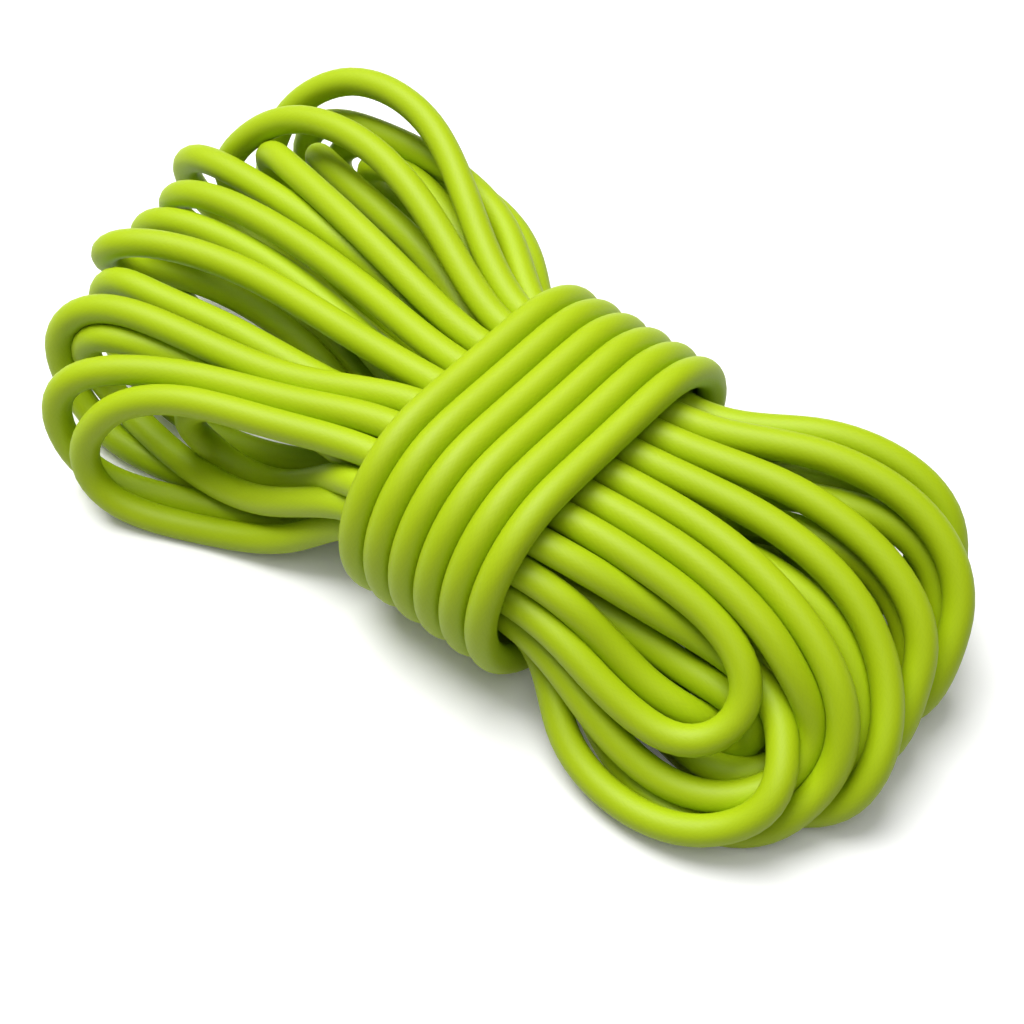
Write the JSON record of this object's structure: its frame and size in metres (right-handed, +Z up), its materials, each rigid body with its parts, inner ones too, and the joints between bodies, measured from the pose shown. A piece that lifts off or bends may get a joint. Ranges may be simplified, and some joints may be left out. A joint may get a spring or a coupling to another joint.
{
  "type": "climbing rope",
  "caption": "Dynamic climbing rope put away as a hank: long loops laid side by side, drawn in and wound round at the waist, with its ends on the ground behind it.",
  "frame": {"origin": "middle of the bottom of the hank's box, on the ground it lies on", "axes": "+X along the hank, towards its shorter and fuller end; +Z up; +Y towards the side where the two ends of the rope lie"},
  "size_m": [0.3578, 0.1922, 0.0851],
  "materials": {
    "sheath_cloth": "lime green woven polyamide sheath, soft satin",
    "core_yarn": "white twisted polyamide yarn",
    "molten_tip": "molten and set polyamide",
    "end_sleeve": "thin shrunk plastic sleeve, satin"
  },
  "bodies": {
    "root": {"hank_loops": "sheath_cloth", "waist_wraps": "sheath_cloth", "inner_end_sheath": "sheath_cloth", "inner_end_core": "core_yarn", "inner_end_tip": "molten_tip", "inner_end_sleeve": "end_sleeve", "outer_end_sheath": "sheath_cloth", "outer_end_core": "core_yarn", "outer_end_tip": "molten_tip", "outer_end_sleeve": "end_sleeve"}
  },
  "joints": []
}
